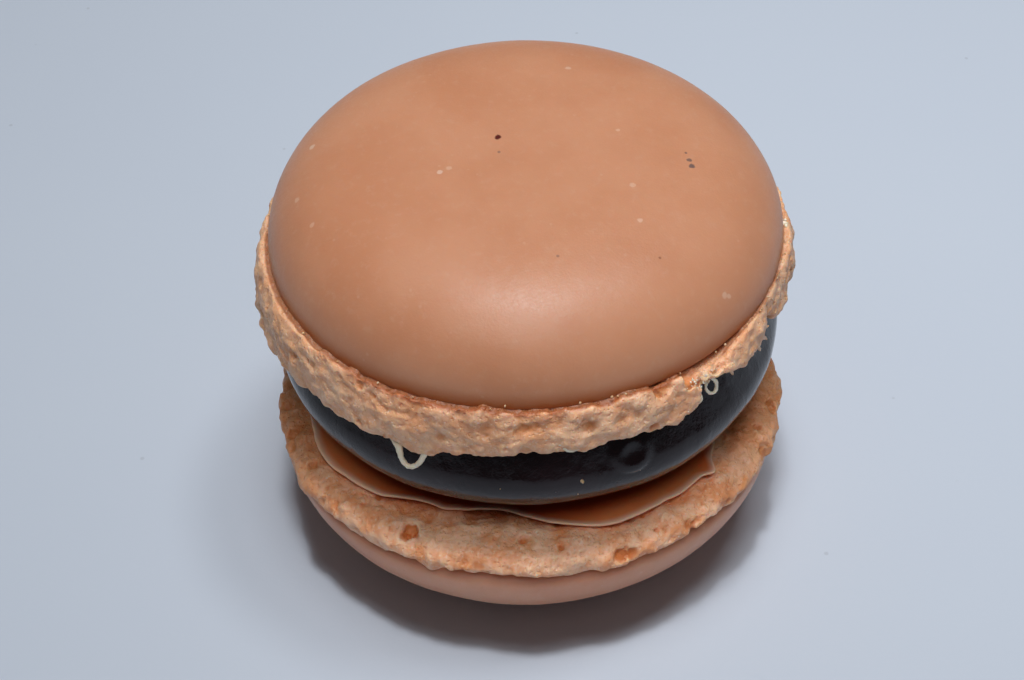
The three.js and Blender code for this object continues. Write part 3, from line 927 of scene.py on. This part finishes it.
crumb = Crumb("upper_shell_foot", section, FOOT_STEPS, bend_upper_foot,
              rough_lumps(31, 70, (21.2, 22.1), (0.6, 3.0)))
crumb.places = seat_upper(crumb.places)
crumb.swell(2.4, 0.24, 13)
crumb.swell(1.4, 0.22, 15)
crumb.swell(0.75, 0.14, 17)
crumb.pits(UPPER_FOOT_PITS + UPPER_FOOT_SWELLS)
crumb.press(crumb.groove(LEFT_TEAR, 0.35, 0.22))
crumb.press(crumb.groove(FRONT_TEAR, 0.4, 0.12))
crumb.press(scattered(8, 170, (-180, 180), (21.5, 23.5), (23.5, 27.8), (0.13, 0.4), 0.5))
crumb.press(scattered(9, 110, (70, 290), (21.5, 23.5), (23.5, 27.8), (0.2, 0.75), 0.6))
crumb.swell(0.42, 0.09, 22)
upper_crumb, tree, shader, colour = crumb_material(
    "upper crumb", Pale=(0.87, 0.52, 0.32), Warm=(0.80, 0.39, 0.20), Deep=(0.68, 0.25, 0.08))
# Painted shade: the foot darker towards its left and right ends.
sides = step_up(tree, sum_of(tree, along(tree, "X"), 0.0, "ABSOLUTE"), 14.0 * MM, 20.5 * MM, top=0.35)
colour = mixed(tree, sides, colour, (0.52, 0.26, 0.13, 1))
distance = from_axis(tree)
height = along(tree, "Z")
# Painted shade: a dark orange-brown band in the crease under the dome, at the front.
forward = step_up(tree, along(tree, "Y"), -12.0 * MM, -19.5 * MM, top=0.9)
crease = sum_of(tree, step_up(tree, distance, 22.0 * MM, 21.7 * MM),
                step_up(tree, height, 27.4 * MM, 28.0 * MM), "MULTIPLY")
crease = sum_of(tree, crease, forward, "MULTIPLY")
colour = mixed(tree, crease, colour, (0.38, 0.10, 0.025, 1))
# Painted shade: a thin dark line where the foot meets the dome, all round.
painted_joint_shade = sum_of(tree, step_up(tree, distance, 21.8 * MM, 21.6 * MM, top=0.8),
               step_up(tree, height, 27.2 * MM, 27.8 * MM), "MULTIPLY")
tree.links.new(mixed(tree, painted_joint_shade, colour, (0.35, 0.12, 0.048, 1)), shader.inputs["Base Color"])
finish_piece(crumb.done(), upper_crumb, "upper_shell", "upper_shell")


# ---- Sugar loop ----
# A thread of batter that ran out of the upper foot, dropped, touched it again and set as a loop in
# the oven. It hangs just clear of the filling.

LOOP_THICKNESS = 0.42


def hung(x, y, reach):
    """Where the line of sight through a spot of the view meets an upright round wall of that radius."""
    start, line = sight(x, y)
    level_start = start.xy - Vector(FILLING_CENTRE)
    level_line = line.xy
    a = level_line.dot(level_line)
    b = level_start.dot(level_line)
    c = level_start.dot(level_start) - reach ** 2
    return start + line * ((-b - math.sqrt(b * b - a * c)) / a)


def thread(thickness, route):
    """A fine thread of set sugar: each stop is (place, share of the thickness)."""
    pick()
    bpy.ops.curve.primitive_nurbs_path_add()
    line = bpy.context.object
    line.data.splines.clear()
    spline = line.data.splines.new("NURBS")
    spline.points.add(len(route) - 1)
    for point, (place, share) in zip(spline.points, route):
        point.co = (*place, 1.0)
        point.radius = share
    spline.order_u = 3
    spline.use_endpoint_u = True
    spline.resolution_u = 6
    line.data.bevel_depth = thickness / 2
    line.data.bevel_resolution = 3
    line.data.use_fill_caps = True
    bpy.ops.object.convert(target="MESH")
    return bpy.context.object


def joined(name, parts):
    """One piece of several, with its normals outward and its surface a little uneven."""
    pick(*parts)
    if len(parts) > 1:
        bpy.ops.object.join()
    piece = bpy.context.object
    piece.name = name
    bpy.ops.object.transform_apply(location=True, rotation=True, scale=True)
    bpy.ops.object.mode_set(mode="EDIT")
    bpy.ops.mesh.select_all(action="SELECT")
    bpy.ops.mesh.normals_make_consistent(inside=False)
    bpy.ops.object.mode_set(mode="OBJECT")
    places = corners(piece)
    put_corners(piece, places + outward(piece) * (0.05 * lumps(places, 0.3, 3))[:, None])
    return piece


def make_sugar_material():
    """Set sugar: cream-white, a little see-through and glossy."""
    material, tree, shader = new_material("set sugar", roughness=0.35)
    at = object_place(tree)
    cloudy = grain(tree, at, 0.5 * MM, detail=3)
    colour = mixed(tree, cloudy, (0.84, 0.68, 0.48, 1), (0.94, 0.84, 0.68, 1))
    tree.links.new(colour, shader.inputs["Base Color"])
    tree.links.new(ranged(tree, cloudy, 0.25, 0.5, start=0.3, end=0.7), shader.inputs["Roughness"])
    relief(tree, shader, grain(tree, at, 0.15 * MM), 0.02 * MM)
    bleed(shader, 0.5, (1.0, 0.7, 0.5), 0.4)
    return material


set_sugar = make_sugar_material()

LOOP_SPOTS = (  # spot of the view, distance from the filling's axis, share of the thickness
    ((392, 431), 21.5, 1.6), ((395, 438), 21.8, 1.9), ((398.5, 445), 22.2, 1.6), ((400, 453), 22.4, 1.2),
    ((402.5, 461), 22.4, 1.0), ((408, 466.5), 22.4, 1.0), ((415, 466.5), 22.4, 1.0),
    ((421, 461), 22.4, 1.05), ((424.5, 454), 22.3, 1.25), ((428, 447), 22.1, 1.5),
    ((431.5, 440), 21.7, 1.9), ((433, 433), 21.4, 1.8))
loop_route = [(hung(*spot, reach), share) for spot, reach, share in LOOP_SPOTS]
sugar_loop = joined("sugar_loop", [thread(LOOP_THICKNESS, loop_route)])
finish_piece(sugar_loop, set_sugar, "upper_shell", "upper_shell")


# ---- Sugar curls ----
# Where the upper foot broke away at the front right, its torn edge ends in small curls, hooks and
# teeth of set sugar, and there is a short hook under its front.

CURL_THICKNESS = 0.24


def curl(reach, first, last, *spots):
    """A curl along spots of the view, whose thickness goes from the first share to the last."""
    steps = len(spots) - 1
    return thread(CURL_THICKNESS, [(hung(x, y, reach), first + (last - first) * i / steps)
                                   for i, (x, y) in enumerate(spots)])


curls = [  # through spots of the view
    curl(22.4, 1.5, 0.8, (703, 383), (706, 379), (711.5, 377.5), (716, 381), (717, 387), (715, 392.5),
         (710.5, 393.5), (706.5, 390.5), (705.5, 386), (707, 382)),  # ring
    curl(22.5, 1.7, 0.8, (692, 398), (695.5, 402.5), (699.5, 402), (701.5, 398.5), (700.5, 395)),  # hook
    curl(22.6, 2.0, 0.9, (560, 443), (564, 448), (570, 450.5), (576, 450), (581, 446))]  # front hook
finish_piece(joined("sugar_curls", curls), set_sugar, "upper_shell", "upper_shell")


# ---- Torn teeth ----
# Crumb drawn out to small points where the upper foot tore away from the filling at the right, and
# the clot of sugar the curls grew from.


def crumbs(name, seed, spots):
    """Rough crumbs as one piece: each spot is (place, size)."""
    draw = random.Random(seed)
    parts = []
    for place, size in spots:
        pick()
        bpy.ops.mesh.primitive_ico_sphere_add(subdivisions=2, radius=size, location=place)
        part = bpy.context.object
        part.scale = (draw.uniform(0.7, 1.4), draw.uniform(0.7, 1.4), draw.uniform(0.6, 1.0))
        part.rotation_euler = (draw.uniform(0, 3), draw.uniform(0, 3), draw.uniform(0, 3))
        parts.append(part)
    return joined(name, parts)


TEETH_ROUTES = (  # each through spots of the view
    ((727, 364), (731, 370), (732.5, 374)), ((740, 357), (743, 363), (744.5, 366)),
    ((744, 350), (749, 354), (751.5, 356)), ((754, 342), (758, 346), (760, 350)),
    ((759, 336), (764, 337), (766.5, 339)), ((761, 327), (765, 327), (768, 326)),
    ((712, 368), (715, 373), (717, 376)))
CLOT_SPOT = (699, 383)
CLOT_SPREAD = (5, 4)  # pixels
loose_crumb, tree, shader, colour = crumb_material(
    "loose crumb", Pale=(0.74, 0.44, 0.26), Warm=(0.68, 0.34, 0.18), Deep=(0.6, 0.25, 0.1))
tree.links.new(colour, shader.inputs["Base Color"])
teeth = [curl(22.1, 2.6, 0.7, *spots) for spots in TEETH_ROUTES]
finish_piece(joined("torn_teeth", teeth), loose_crumb, "upper_shell", "upper_shell")
draw = random.Random(29)
clot_spots = []
for _ in range(16):
    spot = [draw.gauss(middle, spread) for middle, spread in zip(CLOT_SPOT, CLOT_SPREAD)]
    clot_spots.append((crumb.seen(*spot), draw.uniform(0.04, 0.09)))
finish_piece(crumbs("sugar_clot", 3, clot_spots), set_sugar, "upper_shell", "upper_shell")


# ---- Crumbs in the crease ----
# Small crumbs of baked foam that caught in the crease under the dome.

CREASE_REACH = 21.8
CREASE_CRUMBS = (  # spot of the view, size
    ((413, 397), 0.09), ((505, 406), 0.09), ((580, 403), 0.1), ((612, 397), 0.1), ((618, 396), 0.08),
    ((626, 394), 0.1))

draw = random.Random(44)
crease_spots = [(hung(*spot, CREASE_REACH), size) for spot, size in CREASE_CRUMBS]
for _ in range(30):
    azimuth = np.array([draw.uniform(-180, 180)])
    place = seat_upper(from_polar(azimuth, np.array([CREASE_REACH]), UPPER_FOOT_TOP - 0.3))[0]
    crease_spots.append((Vector(place), draw.uniform(0.05, 0.1)))
finish_piece(crumbs("crease_crumbs", 7, crease_spots), loose_crumb, "upper_shell", "upper_shell")


# ---- Flakes at the right ----
# Flakes and sugar crystals that stand out from the right side: some beside the dome, and some that
# stuck to the filling.

CREST_FLAKES = (((784, 224), 0.26), ((786, 226), 0.2), ((785, 220), 0.16))  # spot of the view, size
FILLING_FLAKES = (((773, 360), 0.2), ((775, 362), 0.16), ((772, 363), 0.14))

flake_spots = [(crumb.seen(*spot), size) for spot, size in CREST_FLAKES]
flake_spots += [(met(filling_surface, *spot), size) for spot, size in FILLING_FLAKES]
finish_piece(crumbs("right_flakes", 19, flake_spots), set_sugar, "upper_shell", "upper_shell")


# ---- Crumbs on the filling ----
# Specks of shell that stuck to the filling while the macaron was handled.

STUCK_CRUMBS = (  # spot of the view, size
    ((582, 481), 0.13), ((556, 492), 0.06), ((578, 494), 0.07), ((583, 482.5), 0.09), ((719, 440), 0.22),
    ((722, 442), 0.16), ((500, 489), 0.04), ((640, 470), 0.05), ((600, 474), 0.04))

stuck_spots = [(met(filling_surface, *spot), size) for spot, size in STUCK_CRUMBS]
finish_piece(crumbs("filling_crumbs", 23, stuck_spots), loose_crumb, "filling", "filling")
